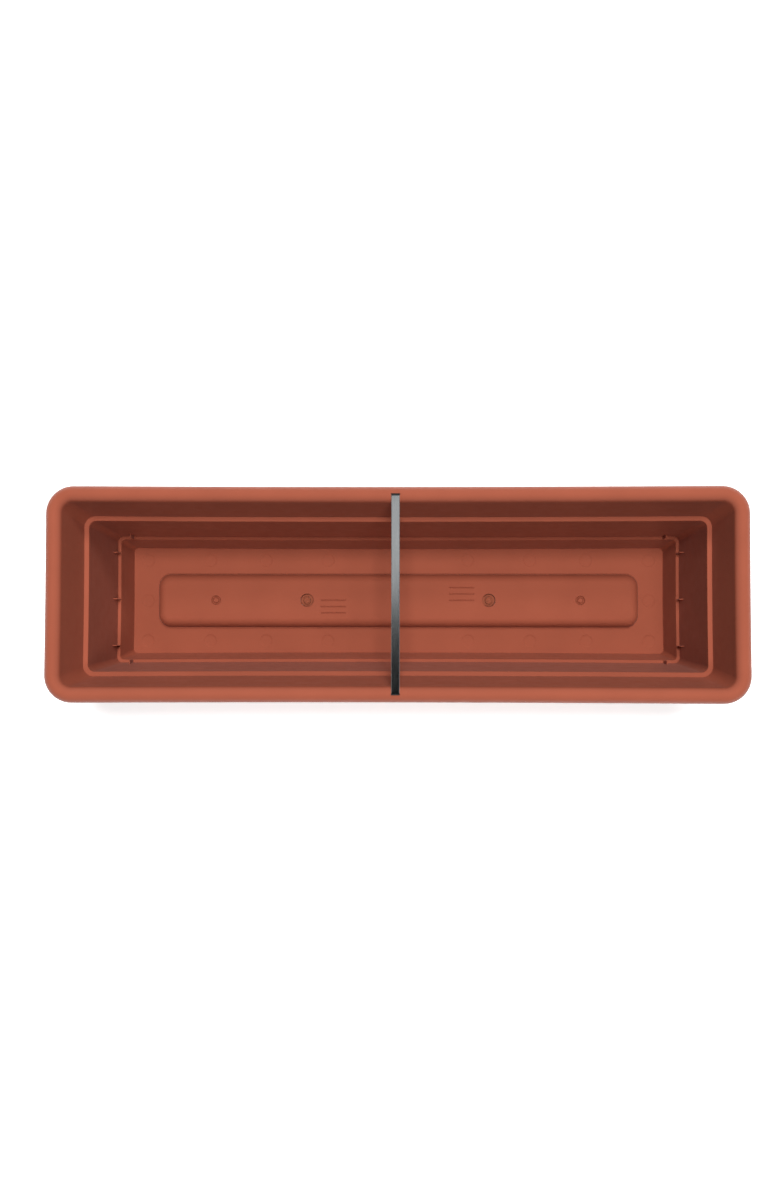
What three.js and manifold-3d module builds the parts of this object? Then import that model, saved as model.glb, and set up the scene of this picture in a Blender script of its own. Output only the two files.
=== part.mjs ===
// Long planting trough with a water-holding moat around a raised floor.
// Millimetres, +Z up. The origin is on the ground, under the centre of the trough.
// X runs along the trough and Y across it.
import * as THREE from "three";
import Module from "manifold-3d";
import { mergeVertices } from "three/addons/utils/BufferGeometryUtils.js";

// Driving dimensions
const LENGTH = 1000;
const WIDTH = 309;
const WALL = 2.8;
const FOOT_HEIGHT = 8;
const FLOOR_Z = 11;
const RIM_EDGE_Z = 270;
const RIM_RADIUS = 11.7;
const SKIRT_DROP = 24;

// Walls: how far each level lies inside the rim's outer edge, its height and its corner radius.
const RIM_CORNER = 40;
const LEDGE_1 = { outer: 35.9, inner: 42.6, outerZ: 199, innerZ: 197, outerCorner: 16.5, innerCorner: 10.5 };
const LEDGE_2 = { outer: 54.1, inner: 58.7, outerZ: 63.5, innerZ: 62, outerCorner: 9, innerCorner: 6 };
const FLOOR_EDGE = { inset: 68.5, corner: 8 };

// Raised floor
const PLATEAU_HALF_LENGTH = 390;
const PLATEAU_HALF_WIDTH = 43;
const PLATEAU_HEIGHT = 18;
const SHOULDER_WIDTH = 15;
const PLATEAU_CORNER = 20;

// Feet under the moat
const FOOT_RADIUS = 11;
const FOOT_ROW_Y = 65.7;
const FOOT_ROW_X = [114, 215, 306, 408];
const END_FOOT_X = 408;

// Stacking fins on the wall between the ledges
const FIN_THICKNESS = 2;
const FIN_HEIGHT = 25;
const FIN_SETBACK = 0.4;
const FIN_END_Y = [-73.5, 0, 73.5];
const FIN_SIDE_X = [-421, 421];

// Tie bar
const BAR_X = -1.6;
const BAR_WIDTH = 12;
const BAR_THICKNESS = 2;
const BAR_LENGTH = 284;
const BAR_LEG_DROP = 12;
const SOCKET_GAP = 0.4;
const SOCKET_FLOOR_GAP = 1;
const SOCKET_WALL = 2;

// Drain plugs
const DRAIN_X = [-147, 147];
const PLUG_BRIM_RADIUS = 10.2;
const PLUG_BRIM_THICKNESS = 1.4;
const PLUG_KNOB_RADIUS = 6.2;
const PLUG_KNOB_HEIGHT = 5.6;
const PLUG_STEM_RADIUS = 6.8;
const PLUG_STEM_LENGTH = 8;
const PLUG_GAP = 0.4;
const PLUG_SEAT_GAP = 0.3;
const DRAIN_RECESS_DEPTH = 9;
const DRAIN_BOSS_RADIUS = 14.5;
const DRAIN_BOSS_DROP = 9;

// Worked out from the above
const HALF_LENGTH = LENGTH / 2;
const HALF_WIDTH = WIDTH / 2;
const RIM_TOP_Z = RIM_EDGE_Z + RIM_RADIUS;
const PLATEAU_Z = FLOOR_Z + PLATEAU_HEIGHT;
const UNDERSIDE_Z = FOOT_HEIGHT;
const BAR_UNDERSIDE_Z = RIM_TOP_Z + 0.3;
const CORNER_STEPS = 6;
const RIM_STEPS = 6;
const SHOULDER_STEPS = 4;
const ROUND_SIDES = 24;
const OVERLAP = 1;

const wasm = await Module();
wasm.setup();

const terracotta = new THREE.MeshStandardMaterial({ color: 0xb35f45, roughness: 0.5, metalness: 0 });
const plugPlastic = new THREE.MeshStandardMaterial({ color: 0x9c5440, roughness: 0.5, metalness: 0 });
const barMetal = new THREE.MeshStandardMaterial({ color: 0x8f9496, roughness: 0.35, metalness: 1 });

// A closed three.js geometry becomes a solid that can be joined and cut.
function toSolid(geometry) {
  const bare = geometry.clone();
  bare.deleteAttribute("normal");
  bare.deleteAttribute("uv");
  const merged = mergeVertices(bare, 1e-4);
  const vertProperties = new Float32Array(merged.attributes.position.array);
  const triVerts = new Uint32Array(merged.index.array);
  return new wasm.Manifold(new wasm.Mesh({ numProp: 3, vertProperties, triVerts }));
}

function toGeometry(solid) {
  const mesh = solid.getMesh();
  const geometry = new THREE.BufferGeometry();
  geometry.setAttribute("position", new THREE.BufferAttribute(mesh.vertProperties, 3));
  geometry.setIndex(new THREE.BufferAttribute(mesh.triVerts, 1));
  geometry.computeVertexNormals();
  return geometry;
}

// Rounded rectangle at one height, counter-clockwise seen from above.
function ring(halfX, halfY, corner, z) {
  const points = [];
  const corners = [[1, 1, 0], [-1, 1, 90], [-1, -1, 180], [1, -1, 270]];
  for (const [sideX, sideY, startDegrees] of corners) {
    for (let step = 0; step <= CORNER_STEPS; step += 1) {
      const angle = THREE.MathUtils.degToRad(startDegrees + (90 * step) / CORNER_STEPS);
      const x = sideX * (halfX - corner) + corner * Math.cos(angle);
      const y = sideY * (halfY - corner) + corner * Math.sin(angle);
      points.push(new THREE.Vector3(x, y, z));
    }
  }
  return points;
}

// Ring that lies a given distance inside the rim's outer edge.
function insetRing(inset, corner, z) {
  return ring(HALF_LENGTH - inset, HALF_WIDTH - inset, corner, z);
}

// Skin through all the rings, closed with a flat fan over the first and the last one.
function loft(rings) {
  const positions = [];
  const addTriangle = (a, b, c) => positions.push(...a.toArray(), ...b.toArray(), ...c.toArray());
  const count = rings[0].length;
  const first = rings[0];
  const last = rings[rings.length - 1];
  const firstCentre = new THREE.Vector3(0, 0, first[0].z);
  const lastCentre = new THREE.Vector3(0, 0, last[0].z);
  for (let index = 0; index < count; index += 1) {
    const next = (index + 1) % count;
    addTriangle(firstCentre, first[index], first[next]);
    addTriangle(lastCentre, last[next], last[index]);
    for (let level = 0; level + 1 < rings.length; level += 1) {
      const here = rings[level];
      const there = rings[level + 1];
      addTriangle(here[index], there[index], there[next]);
      addTriangle(here[index], there[next], here[next]);
    }
  }
  const geometry = new THREE.BufferGeometry();
  geometry.setAttribute("position", new THREE.Float32BufferAttribute(positions, 3));
  return geometry;
}

// Rounded shoulder of the raised floor, from its flat top down to its foot.
function plateauRings(thicknessOff, footZ) {
  const rings = [];
  for (let step = 0; step <= SHOULDER_STEPS; step += 1) {
    const angle = (Math.PI / 2) * (1 - step / SHOULDER_STEPS);
    const inset = SHOULDER_WIDTH * (1 - Math.cos(angle)) + thicknessOff;
    const halfX = PLATEAU_HALF_LENGTH - inset;
    const halfY = PLATEAU_HALF_WIDTH - inset;
    rings.push(ring(halfX, halfY, PLATEAU_CORNER - inset, footZ + PLATEAU_HEIGHT * Math.sin(angle)));
  }
  return rings;
}

// Half-round rim from its inner foot over the top to its outer edge.
function rimRings(radius) {
  const rings = [];
  for (let step = 0; step <= RIM_STEPS; step += 1) {
    const angle = (Math.PI * step) / RIM_STEPS;
    const inset = RIM_RADIUS + radius * Math.cos(angle);
    rings.push(insetRing(inset, RIM_CORNER - inset, RIM_EDGE_Z + radius * Math.sin(angle)));
  }
  return rings;
}

function shell() {
  const skirtZ = RIM_EDGE_Z - SKIRT_DROP;
  const inside = [
    ...plateauRings(0, FLOOR_Z),
    insetRing(FLOOR_EDGE.inset, FLOOR_EDGE.corner, FLOOR_Z),
    insetRing(LEDGE_2.inner, LEDGE_2.innerCorner, LEDGE_2.innerZ),
    insetRing(LEDGE_2.outer, LEDGE_2.outerCorner, LEDGE_2.outerZ),
    insetRing(LEDGE_1.inner, LEDGE_1.innerCorner, LEDGE_1.innerZ),
    insetRing(LEDGE_1.outer, LEDGE_1.outerCorner, LEDGE_1.outerZ),
  ];
  const skirt = [
    insetRing(0, RIM_CORNER, skirtZ),
    insetRing(WALL, RIM_CORNER - WALL, skirtZ),
  ];
  const outside = [
    insetRing(LEDGE_1.outer - WALL, LEDGE_1.outerCorner + WALL, LEDGE_1.outerZ - WALL),
    insetRing(LEDGE_1.inner - WALL, LEDGE_1.innerCorner + WALL, LEDGE_1.innerZ - WALL),
    insetRing(LEDGE_2.outer - WALL, LEDGE_2.outerCorner + WALL, LEDGE_2.outerZ - WALL),
    insetRing(LEDGE_2.inner - WALL, LEDGE_2.innerCorner + WALL, LEDGE_2.innerZ - WALL),
    insetRing(FLOOR_EDGE.inset - WALL, FLOOR_EDGE.corner + WALL, UNDERSIDE_Z),
  ];
  const underside = plateauRings(WALL, UNDERSIDE_Z).reverse();
  const rimInside = rimRings(RIM_RADIUS - WALL).reverse();
  return loft([...inside, ...rimRings(RIM_RADIUS), ...skirt, ...rimInside, ...outside, ...underside]);
}

function cylinder(radius, bottomZ, topZ, x, y) {
  const geometry = new THREE.CylinderGeometry(radius, radius, topZ - bottomZ, ROUND_SIDES);
  geometry.rotateX(Math.PI / 2);
  geometry.translate(x, y, (topZ + bottomZ) / 2);
  return geometry;
}

function box(sizeX, sizeY, bottomZ, topZ, x, y) {
  const geometry = new THREE.BoxGeometry(sizeX, sizeY, topZ - bottomZ);
  geometry.translate(x, y, (topZ + bottomZ) / 2);
  return geometry;
}

function feet() {
  const places = [[-END_FOOT_X, 0], [END_FOOT_X, 0]];
  for (const x of FOOT_ROW_X) {
    for (const sideX of [-1, 1]) {
      for (const sideY of [-1, 1]) {
        places.push([sideX * x, sideY * FOOT_ROW_Y]);
      }
    }
  }
  return places.map(([x, y]) => cylinder(FOOT_RADIUS, 0, UNDERSIDE_Z + OVERLAP, x, y));
}

// Upright fin that stands on the lower ledge and is as deep as the ledge. Its outline is drawn
// as distance from the rim's outer edge against height, and the wall side is buried in the wall.
function fin() {
  const wallLean = (LEDGE_2.outer - LEDGE_1.inner) / (LEDGE_1.innerZ - LEDGE_2.outerZ);
  const topZ = LEDGE_2.innerZ + FIN_HEIGHT;
  const wallAtTop = LEDGE_2.outer - wallLean * (topZ - LEDGE_2.outerZ);
  const freeEdge = LEDGE_2.inner - FIN_SETBACK;
  const outline = new THREE.Shape();
  outline.moveTo(freeEdge, LEDGE_2.innerZ - OVERLAP);
  outline.lineTo(freeEdge, topZ);
  outline.lineTo(wallAtTop - OVERLAP, topZ);
  outline.lineTo(LEDGE_2.outer - OVERLAP, LEDGE_2.innerZ - OVERLAP);
  const geometry = new THREE.ExtrudeGeometry(outline, { depth: FIN_THICKNESS, bevelEnabled: false });
  geometry.translate(0, 0, -FIN_THICKNESS / 2);
  geometry.rotateX(Math.PI / 2);
  return geometry;
}

// Turns a fin drawn along +X from the rim's edge and puts it on one of the four walls.
function placeFin(turnDegrees, edgeDistance, along) {
  const geometry = fin();
  geometry.rotateZ(Math.PI);
  geometry.translate(edgeDistance, along, 0);
  geometry.rotateZ(THREE.MathUtils.degToRad(turnDegrees));
  return geometry;
}

function fins() {
  const list = [];
  for (const turnDegrees of [0, 180]) {
    for (const y of FIN_END_Y) {
      list.push(placeFin(turnDegrees, HALF_LENGTH, y));
    }
  }
  for (const turnDegrees of [90, 270]) {
    for (const x of FIN_SIDE_X) {
      list.push(placeFin(turnDegrees, HALF_WIDTH, x));
    }
  }
  return list;
}

// Block round each turned-down end of the tie bar, wider than the end by the margin on every side.
function barSockets(margin, bottomZ, topZ) {
  const sizeY = BAR_THICKNESS + 2 * margin;
  const middleY = (BAR_LENGTH - BAR_THICKNESS) / 2;
  return [-1, 1].map((side) => box(BAR_WIDTH + 2 * margin, sizeY, bottomZ, topZ, BAR_X, side * middleY));
}

function makeTrough() {
  let solid = toSolid(shell());
  const socketZ = BAR_UNDERSIDE_Z - BAR_LEG_DROP - SOCKET_FLOOR_GAP;
  const sockets = barSockets(SOCKET_GAP + SOCKET_WALL, socketZ - SOCKET_WALL, RIM_TOP_Z - WALL);
  for (const geometry of [...feet(), ...fins(), ...sockets]) {
    solid = solid.add(toSolid(geometry));
  }
  for (const x of DRAIN_X) {
    const bossBottom = PLATEAU_Z - WALL - DRAIN_BOSS_DROP;
    const recessZ = PLATEAU_Z - DRAIN_RECESS_DEPTH;
    solid = solid.add(toSolid(cylinder(DRAIN_BOSS_RADIUS, bossBottom, PLATEAU_Z - WALL / 2, x, 0)));
    solid = solid.subtract(toSolid(cylinder(PLUG_BRIM_RADIUS + PLUG_GAP, recessZ, PLATEAU_Z + OVERLAP, x, 0)));
    solid = solid.subtract(toSolid(cylinder(PLUG_STEM_RADIUS + PLUG_GAP, bossBottom - OVERLAP, PLATEAU_Z, x, 0)));
  }
  for (const geometry of barSockets(SOCKET_GAP, socketZ, RIM_TOP_Z + OVERLAP)) {
    solid = solid.subtract(toSolid(geometry));
  }
  return toGeometry(solid);
}

// Flat strip whose two ends are bent down at right angles.
function makeTieBar() {
  const half = BAR_LENGTH / 2;
  const bend = BAR_THICKNESS * 1.5;
  const topZ = BAR_UNDERSIDE_Z + BAR_THICKNESS;
  const legZ = BAR_UNDERSIDE_Z - BAR_LEG_DROP;
  const inner = half - BAR_THICKNESS;
  const innerBend = bend - BAR_THICKNESS;
  const outline = new THREE.Shape();
  outline.moveTo(-half, legZ);
  outline.lineTo(-inner, legZ);
  outline.lineTo(-inner, BAR_UNDERSIDE_Z - innerBend);
  outline.absarc(-inner + innerBend, BAR_UNDERSIDE_Z - innerBend, innerBend, Math.PI, Math.PI / 2, true);
  outline.absarc(inner - innerBend, BAR_UNDERSIDE_Z - innerBend, innerBend, Math.PI / 2, 0, true);
  outline.lineTo(inner, legZ);
  outline.lineTo(half, legZ);
  outline.lineTo(half, topZ - bend);
  outline.absarc(half - bend, topZ - bend, bend, 0, Math.PI / 2, false);
  outline.absarc(-half + bend, topZ - bend, bend, Math.PI / 2, Math.PI, false);
  const geometry = new THREE.ExtrudeGeometry(outline, { depth: BAR_WIDTH, bevelEnabled: false, curveSegments: 4 });
  geometry.translate(0, 0, -BAR_WIDTH / 2);
  geometry.rotateX(Math.PI / 2);
  geometry.rotateZ(Math.PI / 2);
  geometry.translate(BAR_X, 0, 0);
  return toGeometry(toSolid(geometry));
}

// Push-in plug: a thin brim, a knob with a cross of ribs to grip it by, and a stem.
function makePlug(x) {
  const seatZ = PLATEAU_Z - DRAIN_RECESS_DEPTH + PLUG_SEAT_GAP;
  const brimZ = seatZ + PLUG_BRIM_THICKNESS;
  const knobZ = brimZ + PLUG_KNOB_HEIGHT;
  const stemBottom = seatZ - PLUG_STEM_LENGTH;
  const profile = [
    [0, stemBottom],
    [PLUG_STEM_RADIUS - 1, stemBottom],
    [PLUG_STEM_RADIUS, stemBottom + 1.5],
    [PLUG_STEM_RADIUS, seatZ],
    [PLUG_BRIM_RADIUS, seatZ],
    [PLUG_BRIM_RADIUS, brimZ],
    [PLUG_KNOB_RADIUS, brimZ],
    [PLUG_KNOB_RADIUS - 0.6, knobZ],
    [PLUG_KNOB_RADIUS - 1.6, knobZ],
    [PLUG_KNOB_RADIUS - 1.9, knobZ - 1],
    [0, knobZ - 1],
  ].map(([radius, z]) => new THREE.Vector2(radius, z));
  const body = new THREE.LatheGeometry(profile, ROUND_SIDES);
  body.rotateX(Math.PI / 2);
  body.translate(x, 0, 0);
  const gripLength = 2 * (PLUG_KNOB_RADIUS - 1.5);
  const gripAcross = box(gripLength, 1.6, knobZ - 1.4, knobZ, x, 0);
  const gripAlong = box(1.6, gripLength, knobZ - 1.4, knobZ, x, 0);
  return toGeometry(toSolid(body).add(toSolid(gripAcross)).add(toSolid(gripAlong)));
}

function addPiece(group, name, geometry, material) {
  const mesh = new THREE.Mesh(geometry, material);
  mesh.name = name;
  group.add(mesh);
}

const planter = new THREE.Group();
planter.name = "self_watering_planter";
addPiece(planter, "trough", makeTrough(), terracotta);
addPiece(planter, "tie_bar", makeTieBar(), barMetal);
addPiece(planter, "drain_plug_left", makePlug(DRAIN_X[0]), plugPlastic);
addPiece(planter, "drain_plug_right", makePlug(DRAIN_X[1]), plugPlastic);

export default planter;
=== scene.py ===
"""Looks of a long planting trough with a tie bar and two drain plugs, built round its CAD frame.

Shapes are drawn in millimetres in the CAD model's own frame, and become metres when their object is made.
X runs along the trough, Y across it, and Z is up.
"""
import math
from typing import NamedTuple

import bmesh
import bpy
from mathutils import Euler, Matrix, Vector


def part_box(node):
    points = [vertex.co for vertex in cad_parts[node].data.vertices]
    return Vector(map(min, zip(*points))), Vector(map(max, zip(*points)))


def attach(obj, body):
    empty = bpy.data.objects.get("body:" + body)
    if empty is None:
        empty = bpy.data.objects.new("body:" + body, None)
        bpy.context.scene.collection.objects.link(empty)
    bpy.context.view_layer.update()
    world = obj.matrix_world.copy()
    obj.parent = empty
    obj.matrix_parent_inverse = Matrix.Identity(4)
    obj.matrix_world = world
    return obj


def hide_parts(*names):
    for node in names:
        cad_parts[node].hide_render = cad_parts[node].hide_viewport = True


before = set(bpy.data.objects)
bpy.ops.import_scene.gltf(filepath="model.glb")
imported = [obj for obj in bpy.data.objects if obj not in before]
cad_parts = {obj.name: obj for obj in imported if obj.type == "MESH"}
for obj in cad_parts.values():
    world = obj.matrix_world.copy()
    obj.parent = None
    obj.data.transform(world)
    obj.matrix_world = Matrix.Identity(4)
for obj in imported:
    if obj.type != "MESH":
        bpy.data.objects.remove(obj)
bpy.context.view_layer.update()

MM = 0.001


def in_millimetres(corners):
    return [Vector(corner) / MM for corner in corners]


_, trough_high = in_millimetres(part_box("trough"))
bar_low, bar_high = in_millimetres(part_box("tie_bar"))

# Trough. A bow is how far the middle of a straight wall draws in.
HALF_LENGTH = trough_high.x
HALF_WIDTH = trough_high.y
RIM_TOP_Z = trough_high.z
WALL = 2.8
FLOOR_Z = 11
FLOOR_MARGIN = 8
UNDERSIDE_Z = 8
UNDERSIDE_MARGIN = 5
UNDERSIDE_FILLET = 3
RIM_RADIUS = 11.7
RIM_EDGE_Z = RIM_TOP_Z - RIM_RADIUS
RIM_CORNER = 40
SKIRT_DROP = 24
SKIRT_LIP = 1.1
SIDE_BOW = 1.6
END_BOW = 0.7

# How finely curves are divided
CORNER_STEPS = 14
SIDE_STEPS = 24
END_STEPS = 8
RIM_STEPS = 24
FILLET_STEPS = 5
SHOULDER_STEPS = 10
FIN_EDGE_STEPS = 6
BEND_STEPS = 6
BAR_LENGTH_STEPS = 24
BAR_WIDTH_STEPS = 6
BAR_EDGE_STEPS = 3
LATHE_STEPS = 48
SMALL_LATHE_STEPS = 16
ROUNDING_STEPS = 2
SHARP_DEGREES = 32
WELD_DISTANCE = 0.01

# Raised floor
PLATEAU_HALF_LENGTH = 390
PLATEAU_HALF_WIDTH = 43
PLATEAU_HEIGHT = 18
PLATEAU_CORNER = 20
PLATEAU_Z = FLOOR_Z + PLATEAU_HEIGHT
SHOULDER_WIDTH = 15

# Feet, and the shallow dishes that the moulding leaves over them
FOOT_RADIUS = 11
FOOT_WALL = 2.5
FOOT_ROUNDING = 0.8
FOOT_HOLLOW_ROOF = 1.5
FOOT_ROW_Y = 65.7
FOOT_ROW_X = (114, 215, 306, 408)
END_FOOT_X = 408
SINK_RADIUS = 10.5
SINK_DEPTH = 0.8

# Stacking fins on the lower ledge
FIN_THICKNESS = 1.6
FIN_HEIGHT = 25
FIN_SETBACK = 0.4
FIN_ROUNDING = 0.6
FIN_END_Y = (-73.5, 0, 73.5)
FIN_SIDE_X = (-421, 421)
FIN_SIDE_INSET = 0.4

# Rings left by the moulding gates. Half the groove's profile, from its edge to near its middle, is (share of
# half its width, height over the raised floor). The dimple is (radius, height over the raised floor).
GATE_X = (-294.5, 294.5)
GATE_INNER_RADIUS = 3.4
GATE_OUTER_RADIUS = 7.8
GATE_DEPTH = 3.2
GATE_BOSS_DROP = 3
GATE_LEAD_IN = 0.4
GATE_HALF_PROFILE = ((1.15, GATE_LEAD_IN), (1, 0), (0.8, -0.2 * GATE_DEPTH), (0.2, -0.95 * GATE_DEPTH))
GATE_DIMPLE = ((0.9, 0.3), (0.7, 0), (0.3, -0.5))

# Blocks of plain grooves: (middle x, middle y)
MARK_LENGTH = 41
MARK_WIDTH = 3.2
MARK_PITCH = 10.3
MARK_ROUNDING = 0.3
MARK_BLOCKS = ((-104.5, -MARK_PITCH), (103, MARK_PITCH))

# Drains and their plugs
DRAIN_RECESS_DEPTH = 9
DRAIN_BOSS_RADIUS = 14.5
DRAIN_BOSS_DROP = 9
DRAIN_CHAMFER = 0.3
PLUG_GAP = 0.4
PLUG_SEAT_GAP = 0.3
PLUG_STEM_RADIUS = 6.8
PLUG_BRIM_THICKNESS = 1.4
PLUG_KNOB_RADIUS = 6.2
PLUG_RECESS_DEPTH = 1.1
PLUG_GRIP_HALF_WIDTH = 0.8
PLUG_GRIP_TURN_DEGREES = 35
PLUG_NOTCHES = 8
PLUG_NOTCH_RADIUS = 1.4
PLUG_NOTCH_OFFSET = 0.5

# Tie bar and the sockets for its turned-down ends
BAR_THICKNESS = 2
BAR_EDGE = 0.95
BAR_BEND = 3
BAR_HOLLOW = 0.12
# Painted shade on the strip's turned-down ends: how far in from each end it starts, and where it is full
BAR_PAINTED_SHADE_START = 4
BAR_PAINTED_SHADE_FULL = 1.6
SOCKET_GAP = 0.4
SOCKET_FLOOR_GAP = 1
SOCKET_WALL = 2
SOCKET_TOP_Z = RIM_TOP_Z - 2.2
SOCKET_ROUNDING = 0.3

# How far an added piece reaches into what it joins, or a cut out of what it cuts
BURIED = 1


class Level(NamedTuple):
    """One height of the trough's wall: how far inside the rim's edge it lies, and how it is rounded."""

    inset: float
    z: float
    corner: float
    fillet: float = 0


FLOOR_EDGE = Level(68.5, FLOOR_Z, 8, 1.5)
LEDGE_2_INNER = Level(58.7, 62, 6, 0.9)
LEDGE_2_OUTER = Level(54.1, 63.5, 9, 0.5)
LEDGE_1_INNER = Level(42.6, 197, 10.5, 1.2)
LEDGE_1_OUTER = Level(35.9, 199, 16.5, 0.8)


# ---------------------------------------------------------------- shapes


def arc_between(before, here, after):
    """Round arc that replaces the corner at one level of a wall profile."""
    middle = Vector((here.inset, here.z, here.corner))
    start_way = Vector((before.inset, before.z, before.corner)) - middle
    end_way = Vector((after.inset, after.z, after.corner)) - middle
    half_angle = start_way.xy.angle(end_way.xy) / 2
    cut_back = here.fillet / math.tan(half_angle)
    start = middle + start_way * (cut_back / start_way.xy.length)
    end = middle + end_way * (cut_back / end_way.xy.length)
    weight = math.sin(half_angle)
    levels = []
    for step in range(FILLET_STEPS + 1):
        t = step / FILLET_STEPS
        shares = ((1 - t) ** 2, 2 * weight * t * (1 - t), t ** 2)
        point = (start * shares[0] + middle * shares[1] + end * shares[2]) / sum(shares)
        levels.append(Level(*point))
    return levels


def round_off(levels):
    """The same wall profile with each level's fillet drawn as an arc."""
    rounded = [levels[0]]
    for before, here, after in zip(levels, levels[1:], levels[2:]):
        rounded += arc_between(before, here, after) if here.fillet else [here]
    return rounded + [levels[-1]]


def outline(half_x, half_y, corner):
    """Rounded rectangle, counter-clockwise, with its straight sides divided."""
    points = []
    quarters = ((1, 1, END_STEPS), (-1, 1, SIDE_STEPS), (-1, -1, END_STEPS), (1, -1, SIDE_STEPS))
    for turn, (side_x, side_y, steps) in enumerate(quarters):
        arc = []
        for step in range(CORNER_STEPS + 1):
            angle = math.pi / 2 * (turn + step / CORNER_STEPS)
            x = side_x * (half_x - corner) + corner * math.cos(angle)
            y = side_y * (half_y - corner) + corner * math.sin(angle)
            arc.append(Vector((x, y)))
        if points:
            points += divided(points[-1], arc[0], steps)
        points += arc
    return points + divided(points[-1], points[0], quarters[0][2])


def divided(start, end, steps):
    """The points that divide a straight line into equal steps, without its ends."""
    return [start.lerp(end, step / steps) for step in range(1, steps)]


def bowed(point, half_x, half_y):
    """The point moved inward as the long and the short walls draw in between their corners."""
    x, y = point
    inward_x = END_BOW * max(0, 1 - (y / half_y) ** 2) * (x / half_x)
    inward_y = SIDE_BOW * max(0, 1 - (x / half_x) ** 2) * (y / half_y)
    return Vector((x - inward_x, y - inward_y))


def wall_ring(level):
    half_x = HALF_LENGTH - level.inset
    half_y = HALF_WIDTH - level.inset
    points = outline(half_x, half_y, level.corner)
    return [(*bowed(point, half_x, half_y), level.z) for point in points]


def plateau_ring(inset, z):
    points = outline(PLATEAU_HALF_LENGTH - inset, PLATEAU_HALF_WIDTH - inset, PLATEAU_CORNER - inset)
    return [(*point, z) for point in points]


def plateau_rings(skin, foot_z):
    """The raised floor's rounded shoulder, from its flat top down to its foot."""
    rings = []
    for step in range(SHOULDER_STEPS + 1):
        angle = math.pi / 2 * (1 - step / SHOULDER_STEPS)
        inset = skin + SHOULDER_WIDTH * (1 - math.cos(angle))
        rings.append(plateau_ring(inset, foot_z + PLATEAU_HEIGHT * math.sin(angle)))
    return rings


def rim_levels(radius, first_angle):
    """The half-round rim, from its inner foot over the top to its outer edge."""
    levels = []
    for step in range(RIM_STEPS + 1):
        angle = first_angle + (math.pi - first_angle) * step / RIM_STEPS
        inset = RIM_RADIUS + radius * math.cos(angle)
        levels.append(Level(inset, RIM_EDGE_Z + radius * math.sin(angle), RIM_CORNER - inset))
    return levels


def outer_face(level):
    """The level on the outside of the wall that lies behind a level on its inside."""
    return Level(level.inset - WALL, level.z - WALL, level.corner + WALL, level.fillet)


def shell_rings():
    """Every ring of the trough's skin, from the middle of its floor to the middle of its underside."""
    lean = math.atan2(LEDGE_1_OUTER.inset - 2 * RIM_RADIUS, RIM_EDGE_Z - LEDGE_1_OUTER.z)
    skirt_z = RIM_EDGE_Z - SKIRT_DROP
    profile = [
        Level(FLOOR_EDGE.inset + FLOOR_MARGIN, FLOOR_Z, FLOOR_EDGE.corner),
        FLOOR_EDGE, LEDGE_2_INNER, LEDGE_2_OUTER, LEDGE_1_INNER, LEDGE_1_OUTER,
        *rim_levels(RIM_RADIUS, lean),
        Level(0, skirt_z, RIM_CORNER, SKIRT_LIP),
        Level(WALL, skirt_z, RIM_CORNER - WALL, SKIRT_LIP),
        *reversed(rim_levels(RIM_RADIUS - WALL, 0)),
        *[outer_face(level) for level in (LEDGE_1_OUTER, LEDGE_1_INNER, LEDGE_2_OUTER, LEDGE_2_INNER)],
        Level(FLOOR_EDGE.inset - WALL, UNDERSIDE_Z, FLOOR_EDGE.corner + WALL, UNDERSIDE_FILLET),
        Level(FLOOR_EDGE.inset + UNDERSIDE_MARGIN, UNDERSIDE_Z, FLOOR_EDGE.corner),
    ]
    rings = plateau_rings(0, FLOOR_Z)
    rings += [wall_ring(level) for level in round_off(profile)]
    rings += reversed(plateau_rings(WALL, UNDERSIDE_Z))
    return rings


def add_skin(mesh, rings, closed_loop=False):
    """Faces between neighbouring rings, with a flat face over the first and the last ring."""
    loops = [[mesh.verts.new(point) for point in ring] for ring in rings]
    count = len(rings[0])
    pairs = list(zip(loops, loops[1:]))
    if closed_loop:
        pairs.append((loops[-1], loops[0]))
    else:
        mesh.faces.new(loops[0])
        mesh.faces.new(reversed(loops[-1]))
    for here, there in pairs:
        for index in range(count):
            after = (index + 1) % count
            mesh.faces.new((here[index], there[index], there[after], here[after]))


def circle(x, y, radius, z, steps=LATHE_STEPS):
    turns = [2 * math.pi * step / steps for step in range(steps)]
    return [(x + radius * math.cos(turn), y + radius * math.sin(turn), z) for turn in turns]


def add_lathe(mesh, profile, x, y, steps=LATHE_STEPS):
    """Solid of revolution round a vertical axis. The profile is (radius, z), from its top to its bottom."""
    add_skin(mesh, [circle(x, y, radius, z, steps) for radius, z in profile])


def add_box(mesh, low, high, rounding=0):
    """Box between two corners, with all its edges rounded."""
    middle = (Vector(low) + Vector(high)) / 2
    size = Vector(high) - Vector(low)
    made = bmesh.ops.create_cube(mesh, size=1)["verts"]
    for vertex in made:
        vertex.co = middle + Vector(a * b for a, b in zip(vertex.co, size))
    if rounding:
        edges = list({edge for vertex in made for edge in vertex.link_edges})
        bmesh.ops.bevel(mesh, geom=edges, offset=rounding, segments=ROUNDING_STEPS, affect="EDGES")


def add_copy(mesh, other):
    """Adds everything in one bmesh to another."""
    data = bpy.data.meshes.new("copy")
    other.to_mesh(data)
    other.free()
    mesh.from_mesh(data)
    bpy.data.meshes.remove(data)


# ---------------------------------------------------------------- objects


def make_object(name, mesh):
    """Object from a bmesh drawn in millimetres."""
    bmesh.ops.scale(mesh, vec=(MM, MM, MM), verts=mesh.verts)
    bmesh.ops.recalc_face_normals(mesh, faces=mesh.faces)
    data = bpy.data.meshes.new(name)
    mesh.to_mesh(data)
    mesh.free()
    made = bpy.data.objects.new(name, data)
    bpy.context.collection.objects.link(made)
    return made


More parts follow.
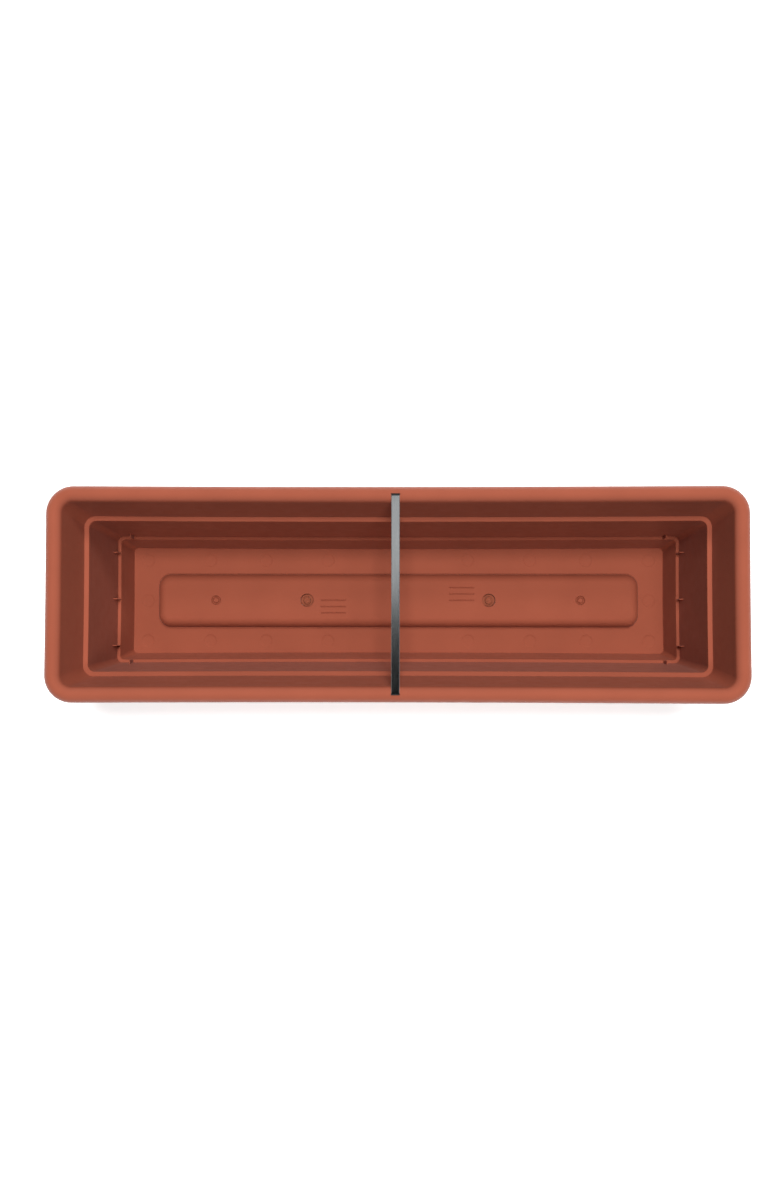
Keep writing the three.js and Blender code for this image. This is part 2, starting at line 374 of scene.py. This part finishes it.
def combine(piece, mesh, operation):
    """Joins a bmesh to the piece, or cuts it away."""
    tool = make_object("tool", mesh)
    modifier = piece.modifiers.new(operation, "BOOLEAN")
    modifier.operation = operation
    modifier.solver = "EXACT"
    modifier.object = tool
    made = piece.evaluated_get(bpy.context.evaluated_depsgraph_get())
    data = bpy.data.meshes.new_from_object(made)
    piece.modifiers.clear()
    old = piece.data
    piece.data = data
    bpy.data.meshes.remove(old)
    bpy.data.meshes.remove(tool.data)
    weld(data)


def weld(data):
    """Joins points that a join or a cut left closer together than the weld distance."""
    mesh = bmesh.new()
    mesh.from_mesh(data)
    bmesh.ops.remove_doubles(mesh, verts=mesh.verts, dist=WELD_DISTANCE * MM)
    bmesh.ops.dissolve_degenerate(mesh, edges=mesh.edges, dist=WELD_DISTANCE * MM)
    mesh.to_mesh(data)
    mesh.free()


def smooth(piece):
    """Smooth shading that keeps true edges and stays flat on flat faces."""
    mesh = bmesh.new()
    mesh.from_mesh(piece.data)
    for face in mesh.faces:
        face.smooth = True
    for edge in mesh.edges:
        edge.smooth = edge.calc_face_angle(0) < math.radians(SHARP_DEGREES)
    mesh.to_mesh(piece.data)
    mesh.free()
    weighted = piece.modifiers.new("weighted_normals", "WEIGHTED_NORMAL")
    weighted.keep_sharp = True


# ---------------------------------------------------------------- trough


def foot_places():
    places = [(-END_FOOT_X, 0), (END_FOOT_X, 0)]
    for x in FOOT_ROW_X:
        for side_x in (-1, 1):
            for side_y in (-1, 1):
                places.append((side_x * x, side_y * FOOT_ROW_Y))
    return places


def add_foot(mesh, x, y):
    """Cup-shaped foot under the floor."""
    hollow = FOOT_RADIUS - FOOT_WALL
    profile = [
        (FOOT_RADIUS, UNDERSIDE_Z + BURIED),
        (FOOT_RADIUS, FOOT_ROUNDING),
        (FOOT_RADIUS - FOOT_ROUNDING, 0),
        (hollow + 0.5, 0),
        (hollow, 0.5),
        (hollow - 0.4, UNDERSIDE_Z - FOOT_HOLLOW_ROOF),
    ]
    add_lathe(mesh, profile, x, y)


def fin_ring(z, shrink):
    """Outline of a fin at one height: buried in the wall, with a round free edge."""
    wall_lean = (LEDGE_2_OUTER.inset - LEDGE_1_INNER.inset) / (LEDGE_1_INNER.z - LEDGE_2_OUTER.z)
    wall_side = LEDGE_2_OUTER.inset - wall_lean * (z - LEDGE_2_OUTER.z) - BURIED
    radius = FIN_THICKNESS / 2 - shrink
    centre = LEDGE_2_INNER.inset - FIN_SETBACK - FIN_THICKNESS / 2
    points = [(wall_side, radius), (wall_side, -radius)]
    for step in range(FIN_EDGE_STEPS + 1):
        angle = math.pi * (step / FIN_EDGE_STEPS - 0.5)
        points.append((centre + radius * math.cos(angle), radius * math.sin(angle)))
    return points


def add_fin(mesh, turn_degrees, edge_distance, along):
    """Thin upright fin that stands on the lower ledge, as deep as the ledge."""
    top_z = LEDGE_2_INNER.z + FIN_HEIGHT
    levels = [
        (top_z, FIN_ROUNDING),
        (top_z - 0.3 * FIN_ROUNDING, 0.3 * FIN_ROUNDING),
        (top_z - FIN_ROUNDING, 0),
        (LEDGE_2_INNER.z - BURIED, 0),
    ]
    turn = Euler((0, 0, math.radians(turn_degrees))).to_matrix()
    rings = []
    for z, shrink in levels:
        places = [(edge_distance - inset, along - across, z) for inset, across in fin_ring(z, shrink)]
        rings.append([turn @ Vector(place) for place in places])
    add_skin(mesh, rings)


def add_fins(mesh):
    for turn_degrees in (0, 180):
        for y in FIN_END_Y:
            add_fin(mesh, turn_degrees, HALF_LENGTH - END_BOW, y)
    for turn_degrees in (90, 270):
        for x in FIN_SIDE_X:
            add_fin(mesh, turn_degrees, HALF_WIDTH - FIN_SIDE_INSET, x)


def cut_marks(mesh):
    """Two blocks of three plain V-shaped grooves."""
    side = MARK_WIDTH / math.sqrt(2)
    half = Vector((MARK_LENGTH, side, side)) / 2
    turn = Euler((math.radians(45), 0, 0)).to_matrix()
    for x, middle_y in MARK_BLOCKS:
        for row in (-1, 0, 1):
            groove = bmesh.new()
            add_box(groove, -half, half, MARK_ROUNDING)
            bmesh.ops.rotate(groove, verts=groove.verts, matrix=turn)
            bmesh.ops.translate(groove, verts=groove.verts, vec=(x, middle_y + row * MARK_PITCH, PLATEAU_Z))
            add_copy(mesh, groove)


def plug_places():
    """(x, head radius) of each drain plug, from its CAD node."""
    places = []
    for node in ("drain_plug_left", "drain_plug_right"):
        low, high = in_millimetres(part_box(node))
        places.append(((low.x + high.x) / 2, (high.x - low.x) / 2))
    return places


def add_boss(mesh, x, radius, drop):
    """Round boss that hangs below the raised floor."""
    bottom_z = PLATEAU_Z - WALL - drop
    add_lathe(mesh, [(radius, PLATEAU_Z - WALL / 2), (radius, bottom_z)], x, 0)


def cut_drain(mesh, x, head_radius):
    """Stepped hole that a drain plug sits in."""
    recess_z = PLATEAU_Z - DRAIN_RECESS_DEPTH
    wide = head_radius + PLUG_GAP
    narrow = PLUG_STEM_RADIUS + PLUG_GAP
    profile = [
        (wide + 2 * DRAIN_CHAMFER, PLATEAU_Z + BURIED),
        (wide + DRAIN_CHAMFER, PLATEAU_Z),
        (wide, PLATEAU_Z - DRAIN_CHAMFER),
        (wide, recess_z),
        (narrow, recess_z),
        (narrow, PLATEAU_Z - WALL - DRAIN_BOSS_DROP - BURIED),
    ]
    add_lathe(mesh, profile, x, 0)


def cut_gate_mark(mesh, x):
    """Ring-shaped groove with rounded edges, and a dimple in its middle."""
    middle = (GATE_OUTER_RADIUS + GATE_INNER_RADIUS) / 2
    half = (GATE_OUTER_RADIUS - GATE_INNER_RADIUS) / 2
    outer = [(middle + half * share, PLATEAU_Z + rise) for share, rise in GATE_HALF_PROFILE]
    inner = [(middle - half * share, PLATEAU_Z + rise) for share, rise in reversed(GATE_HALF_PROFILE)]
    profile = outer + [(middle, PLATEAU_Z - GATE_DEPTH)] + inner
    add_skin(mesh, [circle(x, 0, radius, z) for radius, z in profile], closed_loop=True)
    dimple = [(radius, PLATEAU_Z + rise) for radius, rise in GATE_DIMPLE]
    add_lathe(mesh, dimple, x, 0, SMALL_LATHE_STEPS)


def cut_sink_mark(mesh, x, y):
    """Very shallow dish that the moulding leaves over a foot."""
    profile = [
        (SINK_RADIUS + 0.6, FLOOR_Z + SINK_DEPTH),
        (SINK_RADIUS, FLOOR_Z),
        (SINK_RADIUS - 1, FLOOR_Z - 0.8 * SINK_DEPTH),
        (SINK_RADIUS - 3, FLOOR_Z - SINK_DEPTH),
        (1, FLOOR_Z - SINK_DEPTH),
    ]
    add_lathe(mesh, profile, x, y)


def bar_socket(mesh, margin, bottom_z, top_z, rounding=0):
    """Block round each of the tie bar's turned-down ends, wider than the end by the margin."""
    for side in (-1, 1):
        near, far = sorted((side * (bar_high.y - BAR_THICKNESS - margin), side * (bar_high.y + margin)))
        low = (bar_low.x - margin, near, bottom_z)
        high = (bar_high.x + margin, far, top_z)
        add_box(mesh, low, high, rounding)


def make_trough():
    shell = bmesh.new()
    add_skin(shell, shell_rings())
    trough = make_object("trough_shell", shell)

    additions = bmesh.new()
    for x, y in foot_places():
        add_foot(additions, x, y)
    add_fins(additions)
    for x, _ in plug_places():
        add_boss(additions, x, DRAIN_BOSS_RADIUS, DRAIN_BOSS_DROP)
    for x in GATE_X:
        add_boss(additions, x, GATE_OUTER_RADIUS + WALL, GATE_BOSS_DROP)
    socket_floor_z = bar_low.z - SOCKET_FLOOR_GAP
    bar_socket(additions, SOCKET_GAP + SOCKET_WALL, socket_floor_z - SOCKET_WALL, SOCKET_TOP_Z)
    combine(trough, additions, "UNION")

    cuts = bmesh.new()
    for x, y in foot_places():
        cut_sink_mark(cuts, x, y)
    for x in GATE_X:
        cut_gate_mark(cuts, x)
    for x, head_radius in plug_places():
        cut_drain(cuts, x, head_radius)
    cut_marks(cuts)
    bar_socket(cuts, SOCKET_GAP, socket_floor_z, RIM_TOP_Z + 3 * BURIED, SOCKET_ROUNDING)
    combine(trough, cuts, "DIFFERENCE")
    smooth(trough)
    return trough


# ---------------------------------------------------------------- tie bar


def bar_section(place, across):
    """Rounded cross-section of the strip at one place of its path."""
    half_width = (bar_high.x - bar_low.x) / 2
    half_thickness = BAR_THICKNESS / 2
    middle_x = (bar_high.x + bar_low.x) / 2
    reach = half_width - BAR_EDGE
    section = []
    for turn, (side_x, side_t) in enumerate(((1, 1), (-1, 1), (-1, -1), (1, -1))):
        for step in range(BAR_EDGE_STEPS + 1):
            angle = math.pi / 2 * (turn + step / BAR_EDGE_STEPS)
            t = side_t * (half_thickness - BAR_EDGE) + BAR_EDGE * math.sin(angle)
            section.append((side_x * reach + BAR_EDGE * math.cos(angle), t))
        if side_x == side_t:
            section += broad_face(side_t * reach, side_t * half_thickness)
    points = []
    for x, t in section:
        y, z = place + across * t
        points.append((middle_x + x, y, z))
    return points


def broad_face(reach, height):
    """Points across one broad face of the strip, which is slightly hollow along its middle."""
    shares = [1 - 2 * step / BAR_WIDTH_STEPS for step in range(1, BAR_WIDTH_STEPS)]
    return [(share * reach, height * (1 - BAR_HOLLOW * (1 - share ** 2))) for share in shares]


def bar_path():
    """(place, outward direction) along the strip's middle, in the YZ plane."""
    half = BAR_THICKNESS / 2
    end_y = bar_high.y - half
    top_z = bar_high.z - half
    radius = BAR_BEND - half
    leg = Vector((1, 0))
    path = [(Vector((end_y, bar_low.z)), leg)]
    for step in range(BEND_STEPS + 1):
        angle = math.pi / 2 * step / BEND_STEPS
        outward = Vector((math.cos(angle), math.sin(angle)))
        centre = Vector((end_y - radius, top_z - radius))
        path.append((centre + outward * radius, outward))
    first, _ = path[-1]
    for step in range(1, BAR_LENGTH_STEPS // 2 + 1):
        y = first.x * (1 - 2 * step / BAR_LENGTH_STEPS)
        path.append((Vector((y, top_z)), Vector((0, 1))))
    mirror = Vector((-1, 1))
    mirrored = [(place * mirror, outward * mirror) for place, outward in path[:-1]]
    return path + mirrored[::-1]


def make_tie_bar():
    strip = bmesh.new()
    add_skin(strip, [bar_section(place, outward) for place, outward in bar_path()])
    piece = make_object("tie_bar_strip", strip)
    smooth(piece)
    return piece


# ---------------------------------------------------------------- drain plugs


def plug_profile(radius, top_z, brim_z, seat_z, bottom_z):
    """(radius, z) from the knob's hollow top, over the brim and down to the hollow in the stem."""
    return [
        (1.6, top_z - PLUG_RECESS_DEPTH - 0.1),
        (PLUG_KNOB_RADIUS - 2, top_z - PLUG_RECESS_DEPTH),
        (PLUG_KNOB_RADIUS - 1.6, top_z - 0.2),
        (PLUG_KNOB_RADIUS - 1.2, top_z),
        (PLUG_KNOB_RADIUS - 0.7, top_z - 0.1),
        (PLUG_KNOB_RADIUS - 0.3, top_z - 0.6),
        (PLUG_KNOB_RADIUS, brim_z + 0.5),
        (PLUG_KNOB_RADIUS + 0.5, brim_z),
        (radius - 0.4, brim_z),
        (radius, brim_z - 0.4),
        (radius, seat_z),
        (PLUG_STEM_RADIUS, seat_z),
        (PLUG_STEM_RADIUS - 0.4, seat_z - 3),
        (PLUG_STEM_RADIUS, seat_z - 5.5),
        (PLUG_STEM_RADIUS - 1, bottom_z + 0.4),
        (PLUG_STEM_RADIUS - 1.6, bottom_z),
        (PLUG_STEM_RADIUS - 2.4, bottom_z),
        (PLUG_STEM_RADIUS - 2.6, bottom_z + 5),
    ]


def add_grip(mesh, x, top_z):
    """Bar across the knob's hollow top."""
    reach = PLUG_KNOB_RADIUS - 1.6
    low = (x - reach, -PLUG_GRIP_HALF_WIDTH, top_z - PLUG_RECESS_DEPTH - 0.5)
    high = (x + reach, PLUG_GRIP_HALF_WIDTH, top_z - 0.1)
    add_box(mesh, low, high, rounding=0.3)
    turn = Euler((0, 0, math.radians(PLUG_GRIP_TURN_DEGREES))).to_matrix()
    bmesh.ops.rotate(mesh, verts=mesh.verts, cent=(x, 0, 0), matrix=turn)


def cut_notches(mesh, x, top_z, brim_z):
    """Notches round the knob's side."""
    distance = PLUG_KNOB_RADIUS + PLUG_NOTCH_OFFSET
    for place_x, place_y, _ in circle(x, 0, distance, 0, PLUG_NOTCHES):
        profile = [(PLUG_NOTCH_RADIUS, top_z + BURIED), (PLUG_NOTCH_RADIUS, brim_z + 0.3)]
        add_lathe(mesh, profile, place_x, place_y, SMALL_LATHE_STEPS)


def make_plug(node):
    """Push-in plug: a thin brim, a knob with notches and a bar to grip it by, and a hollow stem."""
    low, high = in_millimetres(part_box(node))
    x = (low.x + high.x) / 2
    radius = (high.x - low.x) / 2
    seat_z = PLATEAU_Z - DRAIN_RECESS_DEPTH + PLUG_SEAT_GAP
    brim_z = seat_z + PLUG_BRIM_THICKNESS
    body = bmesh.new()
    add_lathe(body, plug_profile(radius, high.z, brim_z, seat_z, low.z), x, 0)
    piece = make_object(node + "_cap", body)

    grip = bmesh.new()
    add_grip(grip, x, high.z)
    combine(piece, grip, "UNION")

    notches = bmesh.new()
    cut_notches(notches, x, high.z, brim_z)
    combine(piece, notches, "DIFFERENCE")
    smooth(piece)
    return piece


# ---------------------------------------------------------------- materials

TERRACOTTA_COLOUR = (0.28, 0.073, 0.041)
PLUG_COLOUR = (0.25, 0.0705, 0.038)
PLASTIC_ROUGHNESS = 0.45


def new_material(name):
    material = bpy.data.materials.new(name)
    material.use_nodes = True
    nodes = material.node_tree.nodes
    return material, nodes, material.node_tree.links, nodes["Principled BSDF"]


def noise(nodes, links, scale, detail=3.0, stretch=(1, 1, 1)):
    """Noise in the object's own metres, finer along the axes with a larger stretch."""
    coordinates = nodes.new("ShaderNodeTexCoord")
    mapping = nodes.new("ShaderNodeMapping")
    mapping.inputs["Scale"].default_value = stretch
    texture = nodes.new("ShaderNodeTexNoise")
    texture.inputs["Scale"].default_value = scale
    texture.inputs["Detail"].default_value = detail
    links.new(coordinates.outputs["Object"], mapping.inputs["Vector"])
    links.new(mapping.outputs["Vector"], texture.inputs["Vector"])
    return texture.outputs["Fac"]


def between(nodes, links, factor, low, high):
    """The factor's middle range stretched over low to high."""
    span = nodes.new("ShaderNodeMapRange")
    span.inputs["From Min"].default_value = 0.3
    span.inputs["From Max"].default_value = 0.7
    span.inputs["To Min"].default_value = low
    span.inputs["To Max"].default_value = high
    links.new(factor, span.inputs["Value"])
    return span.outputs["Result"]


def tint(nodes, links, factor, dark, light):
    mix = nodes.new("ShaderNodeMix")
    mix.data_type = "RGBA"
    mix.inputs["A"].default_value = (*dark, 1)
    mix.inputs["B"].default_value = (*light, 1)
    links.new(factor, mix.inputs["Factor"])
    return mix.outputs["Result"]


def bump(nodes, links, height, distance, strength, after=None):
    node = nodes.new("ShaderNodeBump")
    node.inputs["Distance"].default_value = distance
    node.inputs["Strength"].default_value = strength
    links.new(height, node.inputs["Height"])
    if after is not None:
        links.new(after, node.inputs["Normal"])
    return node.outputs["Normal"]


def plastic_material(name, colour, roughness):
    """Satin moulded plastic: slight pigment clouds, fine mould grain and faint flow waves."""
    material, nodes, links, shader = new_material(name)
    clouds = between(nodes, links, noise(nodes, links, scale=14), 0, 1)
    dark = [channel * 0.96 for channel in colour]
    light = [channel * 1.04 for channel in colour]
    links.new(tint(nodes, links, clouds, dark, light), shader.inputs["Base Color"])
    patches = noise(nodes, links, scale=60)
    finish = between(nodes, links, patches, roughness - 0.03, roughness + 0.05)
    links.new(finish, shader.inputs["Roughness"])
    shader.inputs["IOR"].default_value = 1.42
    shader.inputs["Sheen Weight"].default_value = 0.05
    shader.inputs["Sheen Roughness"].default_value = 0.3
    wave_height = noise(nodes, links, scale=9, detail=1.0)
    waves = bump(nodes, links, wave_height, distance=0.6 * MM, strength=0.25)
    grain_height = noise(nodes, links, scale=1500, detail=2.0)
    grain = bump(nodes, links, grain_height, distance=0.03 * MM, strength=0.5, after=waves)
    links.new(grain, shader.inputs["Normal"])
    return material


def painted_shade_ends(nodes, links, colour):
    """The colour, with painted shade on the turned-down ends: a dark colour that stands in for the shade and
    dark reflections at the bends and in the sockets.
    """
    coordinates = nodes.new("ShaderNodeTexCoord")
    axes = nodes.new("ShaderNodeSeparateXYZ")
    links.new(coordinates.outputs["Object"], axes.inputs["Vector"])
    distance = nodes.new("ShaderNodeMath")
    distance.operation = "ABSOLUTE"
    links.new(axes.outputs["Y"], distance.inputs[0])
    share = nodes.new("ShaderNodeMapRange")
    share.inputs["From Min"].default_value = (bar_high.y - BAR_PAINTED_SHADE_START) * MM
    share.inputs["From Max"].default_value = (bar_high.y - BAR_PAINTED_SHADE_FULL) * MM
    links.new(distance.outputs["Value"], share.inputs["Value"])
    mix = nodes.new("ShaderNodeMix")
    mix.data_type = "RGBA"
    links.new(colour, mix.inputs["A"])
    # Dark colour of the painted shade at the ends
    mix.inputs["B"].default_value = (0.05, 0.05, 0.05, 1)
    links.new(share.outputs["Result"], mix.inputs["Factor"])
    return mix.outputs["Result"]


def metal_material():
    """Rolled steel strip, brushed along its length, with painted shade on its turned-down ends."""
    material, nodes, links, shader = new_material("brushed_strip")
    shader.inputs["Metallic"].default_value = 1
    lines = noise(nodes, links, scale=60, detail=4.0, stretch=(40, 0.6, 40))
    clouds = between(nodes, links, noise(nodes, links, scale=25, stretch=(2, 0.5, 2)), 0, 1)
    steel = tint(nodes, links, clouds, dark=(0.52, 0.54, 0.55), light=(0.58, 0.60, 0.60))
    # Painted shade: the turned-down ends are darkened to stand in for the shade and dark reflections at the
    # bends
    links.new(painted_shade_ends(nodes, links, steel), shader.inputs["Base Color"])
    links.new(between(nodes, links, lines, 0.13, 0.20), shader.inputs["Roughness"])
    brushing = bump(nodes, links, lines, distance=0.02 * MM, strength=0.4)
    links.new(brushing, shader.inputs["Normal"])
    return material


def floor_material():
    material, nodes, links, shader = new_material("studio_floor")
    clouds = between(nodes, links, noise(nodes, links, scale=1.5), 0, 1)
    paper = tint(nodes, links, clouds, dark=(0.90, 0.90, 0.90), light=(0.92, 0.92, 0.92))
    links.new(paper, shader.inputs["Base Color"])
    shader.inputs["Roughness"].default_value = 0.8
    shader.inputs["Emission Color"].default_value = (1, 1, 1, 1)
    shader.inputs["Emission Strength"].default_value = 0.5
    return material


# ---------------------------------------------------------------- studio


class Panel(NamedTuple):
    """Rectangular studio panel: a lamp lights the surfaces, and a card is only seen in their gloss."""

    name: str
    place: tuple
    size: tuple
    watts: float
    is_card: bool = False


# Studio sizes are in metres
AIM = Vector((0, 0, 0.1))
PANELS = [
    Panel("key_lamp", (0.2, 1.5, 9.0), (2.0, 1.8), 690),
    Panel("back_lamp", (1.2, 5.4, 9.0), (2.8, 1.8), 545),
    Panel("front_lamp", (1.2, -3.6, 9.0), (3.2, 1.8), 390),
    Panel("overhead_card", (0.0, 0.34, 3.0), (2.4, 0.52), 2.8, is_card=True),
]
SKY_HORIZON = 0.93
SKY_DARK_HEIGHT = 0.9
STUDIO_FLOOR_HALF_SIZE = 6
STUDIO_FLOOR_Z = -0.0002

CAMERA_ABOVE_RIM = 1.7025
CAMERA_SIDE = 0.0135
CAMERA_FRONT = -0.0680
CAMERA_TURN_DEGREES = (2.114, 0.768, 0.072)
CAMERA_LENS = 36.21


def add_panel(panel):
    light = bpy.data.lights.new(panel.name, "AREA")
    light.shape = "RECTANGLE"
    light.size, light.size_y = panel.size
    light.energy = panel.watts
    made = bpy.data.objects.new(panel.name, light)
    made.location = panel.place
    made.rotation_euler = (AIM - made.location).to_track_quat("-Z", "Y").to_euler()
    made.visible_diffuse = not panel.is_card
    made.visible_glossy = panel.is_card
    bpy.context.collection.objects.link(made)


def add_camera():
    camera = bpy.data.objects.new("camera", bpy.data.cameras.new("camera"))
    camera.data.lens = CAMERA_LENS
    camera.location = (CAMERA_SIDE, CAMERA_FRONT, RIM_EDGE_Z * MM + CAMERA_ABOVE_RIM)
    camera.rotation_euler = [math.radians(angle) for angle in CAMERA_TURN_DEGREES]
    bpy.context.collection.objects.link(camera)
    bpy.context.scene.camera = camera


def add_floor():
    """Studio floor, just under the trough's feet."""
    mesh = bmesh.new()
    half = STUDIO_FLOOR_HALF_SIZE / MM
    corners = ((-half, -half), (half, -half), (half, half), (-half, half))
    mesh.faces.new([mesh.verts.new((x, y, STUDIO_FLOOR_Z / MM)) for x, y in corners])
    floor = make_object("studio_floor", mesh)
    floor.data.materials.append(floor_material())


def set_world():
    """Pale backdrop, bright at the horizon and dark overhead. It is reflected, but lights nothing."""
    world = bpy.data.worlds.new("studio")
    bpy.context.scene.world = world
    world.use_nodes = True
    nodes = world.node_tree.nodes
    links = world.node_tree.links
    direction = nodes.new("ShaderNodeTexCoord")
    axes = nodes.new("ShaderNodeSeparateXYZ")
    links.new(direction.outputs["Generated"], axes.inputs["Vector"])
    strength = nodes.new("ShaderNodeMapRange")
    strength.inputs["From Max"].default_value = SKY_DARK_HEIGHT
    strength.inputs["To Min"].default_value = SKY_HORIZON
    strength.inputs["To Max"].default_value = 0
    links.new(axes.outputs["Z"], strength.inputs["Value"])
    background = nodes["Background"]
    background.inputs["Color"].default_value = (1, 1, 1, 1)
    links.new(strength.outputs["Result"], background.inputs["Strength"])
    world.cycles_visibility.diffuse = False
    bpy.context.scene.view_settings.view_transform = "Standard"


# ---------------------------------------------------------------- assembly


def fit(piece, node, body, material):
    """Gives a finished piece its material, and puts it in the frame in place of its CAD node."""
    piece.data.materials.clear()
    piece.data.materials.append(material)
    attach(piece, body)
    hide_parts(node)


add_camera()
add_floor()
set_world()
for panel in PANELS:
    add_panel(panel)

terracotta = plastic_material("terracotta_plastic", TERRACOTTA_COLOUR, PLASTIC_ROUGHNESS)
plug_plastic = plastic_material("plug_plastic", PLUG_COLOUR, PLASTIC_ROUGHNESS)
fit(make_trough(), "trough", "body", terracotta)
fit(make_tie_bar(), "tie_bar", "bar", metal_material())
fit(make_plug("drain_plug_left"), "drain_plug_left", "plug_left", plug_plastic)
fit(make_plug("drain_plug_right"), "drain_plug_right", "plug_right", plug_plastic)
